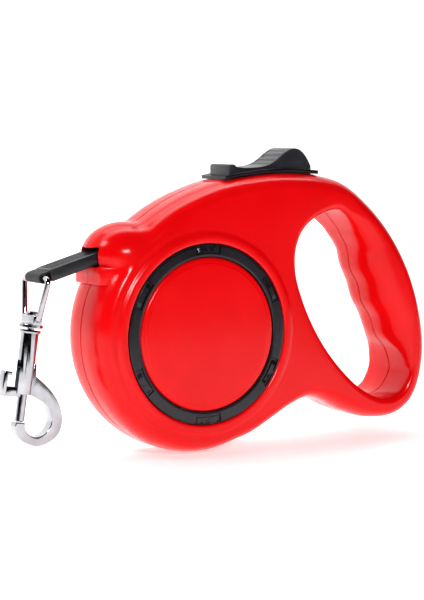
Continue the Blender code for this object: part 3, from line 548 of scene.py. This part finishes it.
def half_skin():
    bm = bmesh.new()
    places = row_places(RIM_ROWS, TURN_ROWS, CROWN)
    row = first_row(bm, outer_points(places[0]))
    for place in places[1:]:
        row = next_row(bm, row, outer_points(place))
    outer_rim = row
    row = first_row(bm, opening_points(0, RIM_ROWS, TURN_ROWS))
    for index in range(1, len(places)):
        row = next_row(bm, row, opening_points(index, RIM_ROWS, TURN_ROWS))
    opening_rim = row
    land = spun([(r, -y) for r, y in LAND], steps=144)
    mesh = bpy.data.meshes.new("land")
    land.to_mesh(mesh)
    land.free()
    before = set(bm.verts)
    bm.from_mesh(mesh)
    bpy.data.meshes.remove(mesh)
    circle = [e for e in bm.edges if e.is_boundary and e.verts[0] not in before]
    loops = [bm.edges.get(pair) for rim in (outer_rim, opening_rim) for pair in zip(rim, rim[1:] + rim[:1])]
    bmesh.ops.triangle_fill(bm, edges=loops + circle, use_beauty=True, normal=(0, -1, 0))
    bmesh.ops.recalc_face_normals(bm, faces=bm.faces)
    side = max(bm.faces, key=lambda f: f.calc_area() if abs(f.normal.y) > 0.99 else 0)
    if side.normal.y > 0:
        bmesh.ops.reverse_faces(bm, faces=bm.faces)
    print("skin", len(bm.faces), "open edges", sum(e.is_boundary for e in bm.edges))
    return bm


skin = half_skin()
bmesh.ops.solidify(skin, geom=skin.faces[:], thickness=WALL)
bmesh.ops.recalc_face_normals(skin, faces=skin.faces)
print("wall", len(skin.faces), "open edges", sum(e.is_boundary for e in skin.edges))

# %% [markdown]
# ## Mouth, lip and button slot
# Below the tape's mouth the casing has a flat-fronted lip with crisp edges, so here a plain Boolean is
# right: its hard seam is what a mould gives. The mouth follows the tape's slope.

# %% Cut the mouth and add the lip
MOUTH = (-44.1, 31.8)
LIP_FRONT, LIP_BOTTOM, LIP_TOP, LIP_HALF = -45.0, 21.0, 28.1, 10.3


def lip_block():
    bm = block((LIP_FRONT, -LIP_HALF, LIP_BOTTOM), (-33, -PARTING, LIP_TOP))
    for vert in bm.verts:
        if vert.co.x > -34 and vert.co.y < -1:
            vert.co.y = -14.0
    outer = [e for e in bm.edges if all(v.co.y < -1 or v.co.x < -44 for v in e.verts)
             and any(v.co.y < -1 for v in e.verts)]
    bmesh.ops.bevel(bm, geom=outer, offset=0.5, segments=3, profile=0.5, affect="EDGES", material=-1)
    return bm


mouth = turned_about(block((MOUTH[0] - 9, -7.0, MOUTH[1] - 3.7), (MOUTH[0] + 16, 7.0, MOUTH[1] + 3.7), 0.5),
                     -TAPE_SLOPE, MOUTH)
slot = block((13.1, -8.1, 54), (56.9, 8.1, 70))
half = combined(skin, lip_block(), "UNION")
half = combined(half, mouth, "DIFFERENCE")
half = combined(half, slot, "DIFFERENCE")
print("half casing", len(half.faces), "open edges", sum(e.is_boundary for e in half.edges))

# %% Bosses, screw holes and the two halves
CASE_SCREWS = [(4, 53.6), (68, 53.2), (105.8, -21), (54, -20.5)]
BOSS_RADIUS, BOSS_END, HOLE_RADIUS, HEAD_RADIUS, HEAD_SEAT = 2.7, 12.8, 1.4, 2.4, 12.0


def merged(shapes):
    """Several closed shapes that don't touch, as one bmesh."""
    result = bmesh.new()
    for shape in shapes:
        mesh = bpy.data.meshes.new("part")
        shape.to_mesh(mesh)
        shape.free()
        result.from_mesh(mesh)
        bpy.data.meshes.remove(mesh)
    return result


half = combined(half, merged([rod(BOSS_RADIUS, -BOSS_END, -0.3, at=at) for at in CASE_SCREWS]), "UNION")
half = combined(half, merged([rod(HOLE_RADIUS, -10.5, 1.0, at=at) for at in CASE_SCREWS]), "DIFFERENCE")
other = half.copy()
bmesh.ops.scale(other, vec=(1, -1, 1), verts=other.verts)
bmesh.ops.reverse_faces(other, faces=other.faces)
other = combined(other, merged([rod(HOLE_RADIUS, -1.0, 20.0, at=at) for at in CASE_SCREWS]), "DIFFERENCE")
other = combined(other, merged([rod(HEAD_RADIUS, HEAD_SEAT, 20.0, at=at) for at in CASE_SCREWS]), "DIFFERENCE")
make_piece("left_casing", half, red_abs, "root", ["left_shell"])
make_piece("right_casing", other, red_abs, "root", ["right_shell"])

# %% [markdown]
# ## Ring and cover
# The black ring snaps into the pocket with six clips, and each clip shows as a small sunken tray with a
# tab in it. The ring is a spun profile whose top faces are inset and pushed down at the clips. The red
# cover inside it has a fine step near its rim.

# %% Ring
RING = [(31.0, 14.9), (31.0, 16.5), (31.15, 16.72), (31.4, 16.8), (32.2, 16.8), (34.8, 16.8), (35.6, 16.8),
        (35.85, 16.72), (36.0, 16.5), (36.0, 14.9)]
RING_STEPS, CLIPS, CLIP_SPAN = 144, 6, 9.0


def ring(side):
    bm = spun(RING, steps=RING_STEPS, closed=True)
    for i in range(CLIPS):
        middle = 90 + i * 360 / CLIPS
        chosen = []
        for face in bm.faces:
            centre = face.calc_center_median()
            away = (np.degrees(atan2(centre.z, centre.x)) - middle + 180) % 360 - 180
            if centre.y > 16.79 and abs(away) < CLIP_SPAN and centre.xz.length > 32.2:
                chosen.append(face)
        bmesh.ops.inset_region(bm, faces=chosen, thickness=0.25, depth=-0.7, use_even_offset=True)
        inner = [f for f in chosen if f.is_valid]
        bmesh.ops.inset_region(bm, faces=inner, thickness=0.6, depth=0.0, use_even_offset=True)
        bmesh.ops.inset_region(bm, faces=[f for f in inner if f.is_valid], thickness=0.15, depth=0.55,
                               use_even_offset=True)
    bmesh.ops.scale(bm, vec=(1, side, 1), verts=bm.verts)
    bmesh.ops.recalc_face_normals(bm, faces=bm.faces)
    return bm


make_piece("left_trim_ring", ring(-1), black_abs, "root", ["left_ring"])
make_piece("right_trim_ring", ring(1), black_abs, "root", ["right_ring"])

# %% Cover
COVER = [(0, 17.2), (27.9, 17.2), (28.25, 17.17), (28.45, 17.05), (28.7, 17.0), (29.2, 16.98), (29.8, 16.86),
         (30.2, 16.66), (30.5, 16.36), (30.65, 16.0), (30.7, 15.6), (30.7, 14.9), (0, 14.9)]


def cover(side):
    bm = spun(COVER)
    bmesh.ops.scale(bm, vec=(1, side, 1), verts=bm.verts)
    bmesh.ops.recalc_face_normals(bm, faces=bm.faces)
    return bm


make_piece("left_cover", cover(-1), red_abs, "root", ["left_side_cover"])
make_piece("right_cover", cover(1), red_abs, "root", ["right_side_cover"])

# %% [markdown]
# ## Tape end
# A stiff black sleeve is moulded over the tape's end. Its top has fine ribs that run along it. The tape
# itself comes out of the sleeve as a loop round the swivel eye, and inside the casing a flat strip of
# tape joins the sleeve to the coil.

# %% Sleeve
SLEEVE_AT = (-44.1, 31.15)
SLEEVE_OUT, SLEEVE_IN, SLEEVE_HALF, SLEEVE_RISE = 20.9, 9.5, 6.2, 2.4
RIBS = 9


def sleeve():
    bm = block((SLEEVE_AT[0] - SLEEVE_OUT, -SLEEVE_HALF, SLEEVE_AT[1] - SLEEVE_RISE),
               (SLEEVE_AT[0] + SLEEVE_IN, SLEEVE_HALF, SLEEVE_AT[1] + SLEEVE_RISE), 0.7, 3)
    for way in (1, -1):
        top = max((f for f in bm.faces if f.normal.z * way > 0.99), key=lambda f: f.calc_area())
        bmesh.ops.inset_region(bm, faces=[top], thickness=0.5, depth=0.0, use_even_offset=True)
        bmesh.ops.inset_region(bm, faces=[top], thickness=0.15, depth=-0.25, use_even_offset=True)
        crossing = [e for e in top.edges if abs(e.verts[0].co.y - e.verts[1].co.y) > 1]
        bmesh.ops.subdivide_edges(bm, edges=crossing, cuts=2 * RIBS, use_grid_fill=True)
        floor = [f for f in bm.faces if f.normal.z * way > 0.99 and abs(f.calc_center_median().y) < 5.3
                 and abs(f.calc_center_median().z - SLEEVE_AT[1]) < SLEEVE_RISE - 0.1]
        floor.sort(key=lambda f: f.calc_center_median().y)
        bmesh.ops.inset_individual(bm, faces=floor[1::2], thickness=0.08, depth=0.2, use_even_offset=True)
    return turned_about(bm, -TAPE_SLOPE, SLEEVE_AT)


make_piece("end_sleeve", sleeve(), sleeve_plastic, "tape_end", ["tape_sleeve"])

# %% Tape loop and the strip to the coil
BAR = (PIVOTS["eye_swing"] - CENTRE) / MM
EYE_WIRE, LOOP_GAP, LOOP_THICKNESS, TAPE_THICKNESS, TAPE_HALF = 1.15, 0.3, 0.6, 0.75, 6.0
LOOP_BACK = 2.9
STRIP_COIL, STRIP_SLEEVE = (-11.0, 39.9), (-33.8, 34.05)


def tape_loop():
    """A thin band round the bar, whose two ends run back to the sleeve."""
    outline = []
    inner = EYE_WIRE + LOOP_GAP
    for radius, way in ((inner + LOOP_THICKNESS, 1), (inner, -1)):
        side = [(LOOP_BACK, radius)] + [(-radius * sin(a), radius * cos(a)) for a in np.linspace(0, pi, 17)]
        side.append((LOOP_BACK, -radius))
        outline += side[::way]
    bm = slab(outline, TAPE_HALF, 0.12, 1)
    bmesh.ops.translate(bm, vec=BAR, verts=bm.verts)
    return turned_about(bm, -TAPE_SLOPE, (BAR.x, BAR.z))


def tape_strip():
    """The flat tape from the coil to inside the sleeve, cut into short steps."""
    line = [np.array(STRIP_COIL) + (np.array(STRIP_SLEEVE) - np.array(STRIP_COIL)) * t
            for t in np.linspace(0, 1, 33)]
    half = TAPE_THICKNESS / 2
    return slab([(x, z + half) for x, z in line] + [(x, z - half) for x, z in reversed(line)], TAPE_HALF)


make_piece("eye_loop", tape_loop(), woven_tape, "tape_end", ["tape_loop"])
strip = make_piece("tape_strip", tape_strip(), woven_tape, None, ["tape_lead"])
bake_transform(strip)


# %% [markdown]
# ## Swivel snap
# The snap hangs from the eye's bar and leans a little. It is drawn in its own upright place, with the
# bar's middle as zero, and turned last. The eye is bent wire with a block at its foot, the hook is a cast
# outline with round edges, and the barrel has eight flats, so it flashes light and dark.

# %% Snap helpers
LEAN = radians(8.2)
ON_SNAP = Matrix.Translation(BAR) @ Matrix.Rotation(LEAN, 4, "Y")


def wire(points, radius, cyclic=True):
    """Round wire along points, as a bmesh."""
    data = bpy.data.curves.new("wire", "CURVE")
    data.dimensions = "3D"
    data.bevel_depth = radius
    data.bevel_resolution = 5
    data.use_fill_caps = True
    line = data.splines.new("POLY")
    line.points.add(len(points) - 1)
    for target, point in zip(line.points, points):
        target.co = (*point, 1)
    line.use_cyclic_u = cyclic
    obj = bpy.data.objects.new("wire", data)
    bpy.context.scene.collection.objects.link(obj)
    evaluated = obj.evaluated_get(bpy.context.evaluated_depsgraph_get())
    bm = bmesh.new()
    bm.from_mesh(evaluated.to_mesh())
    evaluated.to_mesh_clear()
    bpy.data.objects.remove(obj)
    bmesh.ops.remove_doubles(bm, verts=bm.verts, dist=0.001)
    bmesh.ops.recalc_face_normals(bm, faces=bm.faces)
    return bm


def smooth_line(points, per_span=6):
    """An open Catmull-Rom line through points."""
    p = np.array(points, float)
    p = np.vstack((2 * p[0] - p[1], p, 2 * p[-1] - p[-2]))
    out = []
    for a, b, c, d in zip(p, p[1:], p[2:], p[3:]):
        for t in np.arange(per_span) / per_span:
            out.append(0.5 * (2 * b + (c - a) * t + (2 * a - 5 * b + 4 * c - d) * t ** 2
                              + (3 * b - a - 3 * c + d) * t ** 3))
    out.append(p[-2])
    return [tuple(q) for q in out]


# %% Eye
def corner(y, z, start, end, radius=2.0):
    return [(0, y + radius * cos(radians(t)), z + radius * sin(radians(t))) for t in range(start, end + 1, 10)]


EYE_PLATE = [(0, -18.0), (4.5, -18.0), (4.8, -18.3), (4.8, -19.2), (4.5, -19.5), (0, -19.5)]


def eye():
    top, bottom = 7.8, 4.6
    path = corner(top, -2.0, 0, 90) + corner(-top, -2.0, 90, 180)
    path += corner(-bottom, -14.0, 180, 270) + corner(bottom, -14.0, 270, 360)
    bm = wire(path, EYE_WIRE)
    bm = combined(bm, block((-1.9, -5.6, -18.2), (1.9, 5.6, -14.4), 0.5, 4), "UNION")
    bm = combined(bm, spun(EYE_PLATE, axis=(0, 0, 1), steps=48), "UNION")
    return combined(bm, rod(1.7, -22, -10, "Z"), "DIFFERENCE")


make_piece("snap_eye", eye(), chrome, "eye", ["swivel_eye"], turn=ON_SNAP)

# %% Hook
HOOK_OUTER = [(3.9, 38), (8, 40.7), (12.2, 44.2), (15.6, 48.8), (17.3, 54), (16.6, 59.2), (13, 63),
              (7.6, 64.9), (2.2, 63.7), (-1.2, 61), (-2.6, 58.2), (-2.4, 56.2)]
HOOK_INNER = [(1.5, 56.2), (1.7, 58.2), (3.2, 60.2), (7, 61.4), (10.9, 59.4), (12.8, 55.4), (12, 51.6),
              (9.4, 48.3), (6.2, 46.7)]
FLANGE = [(0, -20.2), (3.9, -20.2), (4.25, -20.45), (4.3, -20.9), (4.0, -21.4), (3.2, -21.6), (0, -21.6)]


def hook():
    outline = smooth_line(HOOK_OUTER) + smooth_line(HOOK_INNER) + [(1.8, 44.9), (2.4, 33.0), (3.3, 33.0)]
    hook_ring = slab([(u, -w) for u, w in outline], 2.4, 1.0, 4)
    barrel = rod(3.55, -45.3, -21.2, "Z", sides=8)
    bmesh.ops.rotate(barrel, matrix=Matrix.Rotation(radians(22.5), 3, "Z"), verts=barrel.verts)
    bmesh.ops.bevel(barrel, geom=barrel.edges[:], offset=0.35, segments=2, profile=0.5, affect="EDGES",
                    material=-1)
    bm = combined(barrel, spun(FLANGE, axis=(0, 0, 1), steps=48), "UNION")
    bm = combined(bm, hook_ring, "UNION")
    bm = combined(bm, rod(2.2, -50, -24.4, "Z"), "DIFFERENCE")
    bm = combined(bm, rod(1.7, -26, -15, "Z"), "DIFFERENCE")
    return combined(bm, block((-6, -1.5, -47), (0, 1.5, -32.2)), "DIFFERENCE")


make_piece("snap_hook", hook(), chrome, "snap", ["hook_body"], turn=ON_SNAP)

# %% Bolt and pin
BOLT_TOP, BOLT_END = -35.0, -55.9


def bolt():
    bm = spun([(0, BOLT_TOP), (1.6, BOLT_TOP), (1.85, BOLT_TOP - 0.3), (1.85, BOLT_END + 0.4),
               (1.5, BOLT_END), (0, BOLT_END)], axis=(0, 0, 1), steps=40)
    bm = combined(bm, block((-8.6, -1.1, -46.4), (0, 1.1, -42.6), 0.3), "UNION")
    bm = combined(bm, block((-9.8, -2.2, -46.4), (-7.9, 2.2, -36.6), 0.6, 4), "UNION")
    return combined(bm, block((-8.6, -2.0, -38.2), (-6.2, 2.0, -36.8), 0.4, 3), "UNION")


def pin():
    profile = [(0, -12.9), (1.2, -12.9), (2.1, -13.2), (2.5, -13.8), (2.5, -14.3), (1.4, -14.3), (1.4, -24.2),
               (0, -24.2)]
    return spun(profile, axis=(0, 0, 1), steps=40)


make_piece("snap_bolt", bolt(), chrome, "bolt", ["hook_bolt"], turn=ON_SNAP)
make_piece("snap_pin", pin(), chrome, "snap", ["swivel_pin"], turn=ON_SNAP)

# %% [markdown]
# ## Thumb brake
# A black bezel frames the slot on top of the casing. The button rocks in it: a low saddle for the thumb's
# tip, then a hump with fine ribs on its front slope, so the thumb doesn't slip.

# %% Bezel
BEZEL_FRONT, BEZEL_BACK, BEZEL_HALF, BEZEL_THICK, GAP = 12.6, 58.0, 9.25, 1.5, 0.3


def top_height(x):
    xs, zs = zip(*sorted(TOP_LINE))
    return float(np.interp(x, xs, zs))


def bezel():
    xs = np.linspace(BEZEL_FRONT, BEZEL_BACK, 30)
    lower = [(x, top_height(x) + GAP) for x in xs]
    upper = [(x, top_height(x) + GAP + BEZEL_THICK) for x in reversed(xs)]
    bm = slab(lower + upper, BEZEL_HALF, 0.4, 3)
    way = block((13.5, -7.8, 50), (56.4, 7.8, 80), 0.3)
    return combined(bm, way, "DIFFERENCE")


make_piece("brake_bezel", bezel(), black_abs, "root", ["button_bezel"])

# %% Button
BUTTON_FRONT = [(15.6, 62), (15.6, 65.8), (15.8, 66.6), (16.4, 67), (17.9, 67), (18.6, 66.8), (19.2, 66.1)]
BUTTON_SADDLE = [(19.2, 66.1), (23, 65.6), (29, 65.7), (33, 66.2)]
BUTTON_HUMP = [(45.0, 72.8), (47.6, 73.2), (50.3, 72.4), (53, 69.9), (55.4, 66)]
SLOPE_LOW, SLOPE_HIGH, SLOPE_RIBS, RIB_RISE = (33, 66.2), (45.0, 72.8), 9, 0.45
BUTTON_HALF, CHEEK = 7.5, 1.3


def ribbed_slope():
    """The hump's front slope, from the saddle up, with ribs across it."""
    base = smooth_line([SLOPE_LOW, (36, 67.2), (39, 69.0), (42, 71.2), SLOPE_HIGH], 10)
    points = []
    for i, (x, z) in enumerate(base[1:-1]):
        t = (i + 1) / (len(base) - 1)
        lift = RIB_RISE * max(0.0, sin(2 * pi * SLOPE_RIBS * t / 2)) * sin(pi * t) ** 0.3
        points.append((x - 0.5 * lift, z + 0.85 * lift - RIB_RISE * 0.6 * sin(pi * t) ** 0.3))
    return points


def button():
    top = BUTTON_FRONT[:-1] + smooth_line(BUTTON_SADDLE, 6)[:-1]
    smooth_slope = smooth_line([SLOPE_LOW, (36, 67.2), (39, 69.0), (42, 71.2), SLOPE_HIGH], 10)
    hump = smooth_line(BUTTON_HUMP, 8)
    bottom = [(55.6, 62), (54.5, 60.4), (16.8, 58), (15.6, 59)]
    cheeks = slab(top + smooth_slope[:-1] + hump + bottom, BUTTON_HALF, 0.5, 3)
    above = [SLOPE_LOW, (31, 70), (33, 78), (46, 78), (45.6, 73.3)]
    channel = slab(above + ribbed_slope()[::-1], BUTTON_HALF - CHEEK)
    return combined(cheeks, channel, "DIFFERENCE")


make_piece("thumb_button", button(), button_plastic, "button", ["brake_button"])

# %% [markdown]
# ## Inside pieces
# The reel, its springs and the brake's levers stay as the engineering solids, because they hide in the
# casing and their shapes are right. Each one gets a finish of what it is made of.

# %% Finishes inside
INSIDE = {
    "reel_drum": acetal, "reel_cap": acetal, "left_reel_washer": acetal, "right_reel_washer": acetal,
    "lock_slider": acetal, "brake_pawl": acetal, "mouth_guide": black_abs, "wound_tape": coiled_tape,
    "power_spring": spring_steel, "button_spring": spring_steel,
    "pawl_spring": spring_steel, "bolt_spring": spring_steel, "axle": zinc_steel, "axle_screw": zinc_steel,
    "button_pin": zinc_steel, "pawl_pin": zinc_steel, "reel_screw_1": zinc_steel, "reel_screw_2": zinc_steel,
    "reel_screw_3": zinc_steel, "case_screw_1": zinc_steel, "case_screw_2": zinc_steel,
    "case_screw_3": zinc_steel, "case_screw_4": zinc_steel,
}
for node, material in INSIDE.items():
    nodes[node].data.materials.clear()
    nodes[node].data.materials.append(material)
print("inside pieces", len(INSIDE))

# %% [markdown]
# ## Floor and light
# A white sweep stands under and behind the leash. Glossy red plastic shows mostly what it reflects, so
# the lights are large and soft: one above and behind draws the pale band on the rim, one on the left
# lights the round rim, and a smaller one in front gives the hood its spot. The sweep is painted grey in front,
# a painted shade for the dim front of the room, so the flat sides reflect little white and stay a full red.
# The card also gives off a painted glow of its own, weaker in front, which keeps the background white and
# the shadow light.

# %% Sweep
SWEEP_FRONT, SWEEP_BACK, SWEEP_SIDE, SWEEP_CURVE = -6.0, 1.6, 7.0, 0.6
SWEEP_HEIGHT, UNDER_LEASH = 5.0, 0.0005
lowest = cad_box[0][2]


def sweep():
    bm = bmesh.new()
    line = [(SWEEP_FRONT, 0.0), (-0.5, 0.0), (0.0, 0.0), (0.5, 0.0), (SWEEP_BACK - SWEEP_CURVE, 0.0)]
    line += [(SWEEP_BACK - SWEEP_CURVE + SWEEP_CURVE * sin(a), SWEEP_CURVE * (1 - cos(a)))
             for a in np.linspace(0.1, pi / 2, 12)]
    line.append((SWEEP_BACK, SWEEP_HEIGHT))
    row = [bm.verts.new((-SWEEP_SIDE, y, z)) for y, z in line]
    edges = [bm.edges.new(pair) for pair in zip(row, row[1:])]
    fresh = bmesh.ops.extrude_edge_only(bm, edges=edges)["geom"]
    far_side = [g for g in fresh if isinstance(g, bmesh.types.BMVert)]
    bmesh.ops.translate(bm, vec=(2 * SWEEP_SIDE, 0, 0), verts=far_side)
    bmesh.ops.translate(bm, vec=(0, 0, lowest - UNDER_LEASH), verts=bm.verts)
    bmesh.ops.recalc_face_normals(bm, faces=bm.faces)
    return bm


sweep_mesh = bpy.data.meshes.new("sweep")
sweep_bm = sweep()
sweep_bm.to_mesh(sweep_mesh)
sweep_bm.free()
sweep_mesh.shade_smooth()
white_card = finish_named("white_card", (0.92, 0.92, 0.92), 0.7)


FALL_START, FALL_END = -0.2, -0.55


def painted_falloff(material, near, far, grain):
    """A painted falloff that drops from near to far as the floor comes forward, with a slight mottle: painted
    shade when it drives a colour, painted glow when it drives an emission.
    """
    tree = material.node_tree
    place = tree.nodes.new("ShaderNodeTexCoord")
    parts = tree.nodes.new("ShaderNodeSeparateXYZ")
    span = tree.nodes.new("ShaderNodeMapRange")
    span.interpolation_type = "SMOOTHSTEP"
    span.inputs["From Min"].default_value, span.inputs["From Max"].default_value = FALL_END, FALL_START
    span.inputs["To Min"].default_value, span.inputs["To Max"].default_value = far, near
    tree.links.new(place.outputs["Object"], parts.inputs["Vector"])
    tree.links.new(parts.outputs["Y"], span.inputs["Value"])
    return product(material, span.outputs["Result"], grain)


card_tree = white_card.node_tree
card_shader = card_tree.nodes["Principled BSDF"]
mottle = card_tree.nodes.new("ShaderNodeMapRange")
mottle.inputs["To Min"].default_value, mottle.inputs["To Max"].default_value = 0.97, 1.0
card_tree.links.new(noise_on(white_card, 8), mottle.inputs["Value"])
# Painted shade: the card's colour darkens from white to grey towards the front.
card_tree.links.new(painted_falloff(white_card, 0.93, 0.2, mottle.outputs["Result"]), card_shader.inputs["Base Color"])
# Painted glow: the card gives off light of its own, weaker towards the front.
card_shader.inputs["Emission Color"].default_value = (1, 1, 1, 1)
card_tree.links.new(painted_falloff(white_card, 0.5, 0.12, mottle.outputs["Result"]),
                    card_shader.inputs["Emission Strength"])
sweep_mesh.materials.append(white_card)
sweep_object = bpy.data.objects.new("sweep", sweep_mesh)
bpy.context.scene.collection.objects.link(sweep_object)


# %% Lights
middle = (Vector(cad_box[0]) + Vector(cad_box[1])) / 2


def softbox(name, way, distance, size, radiance, aim=middle):
    """A soft rectangle of even brightness, that way from the leash."""
    light = bpy.data.lights.new(name, "AREA")
    light.shape = "RECTANGLE"
    light.size, light.size_y = size
    light.energy = radiance * pi * size[0] * size[1]
    obj = bpy.data.objects.new(name, light)
    obj.location = Vector(aim) + Vector(way).normalized() * distance
    obj.rotation_euler = (Vector(aim) - obj.location).to_track_quat("-Z", "Y").to_euler()
    bpy.context.scene.collection.objects.link(obj)
    return obj


softbox("front_strip", (-0.27, -0.88, 0.36), 1.5, (0.34, 0.2), 53)
softbox("left_box", (-0.70, 0.06, 0.71), 1.5, (0.3, 0.36), 19)
softbox("top_box", (0.1, 0.45, 0.9), 1.4, (0.9, 0.6), 2.2)
softbox("back_wash", (0, -0.6, 1), 1.6, (2.8, 0.6), 3.2, aim=(0, 1.3, 0.2))

# %% Room
world = bpy.data.worlds.new("studio")
world.use_nodes = True
tree = world.node_tree
way = tree.nodes.new("ShaderNodeTexCoord")
dot = tree.nodes.new("ShaderNodeVectorMath")
dot.operation = "DOT_PRODUCT"
dot.inputs[1].default_value = Vector((0.0, 0.8, 0.5)).normalized()
room = tree.nodes.new("ShaderNodeMapRange")
room.inputs["From Min"].default_value, room.inputs["From Max"].default_value = -0.1, 0.8
room.inputs["To Min"].default_value, room.inputs["To Max"].default_value = 0.05, 0.3
room.interpolation_type = "SMOOTHSTEP"
tree.links.new(way.outputs["Generated"], dot.inputs[0])
tree.links.new(dot.outputs["Value"], room.inputs["Value"])
tree.links.new(room.outputs["Result"], tree.nodes["Background"].inputs["Strength"])
bpy.context.scene.world = world
bpy.context.scene.view_settings.view_transform = "Standard"
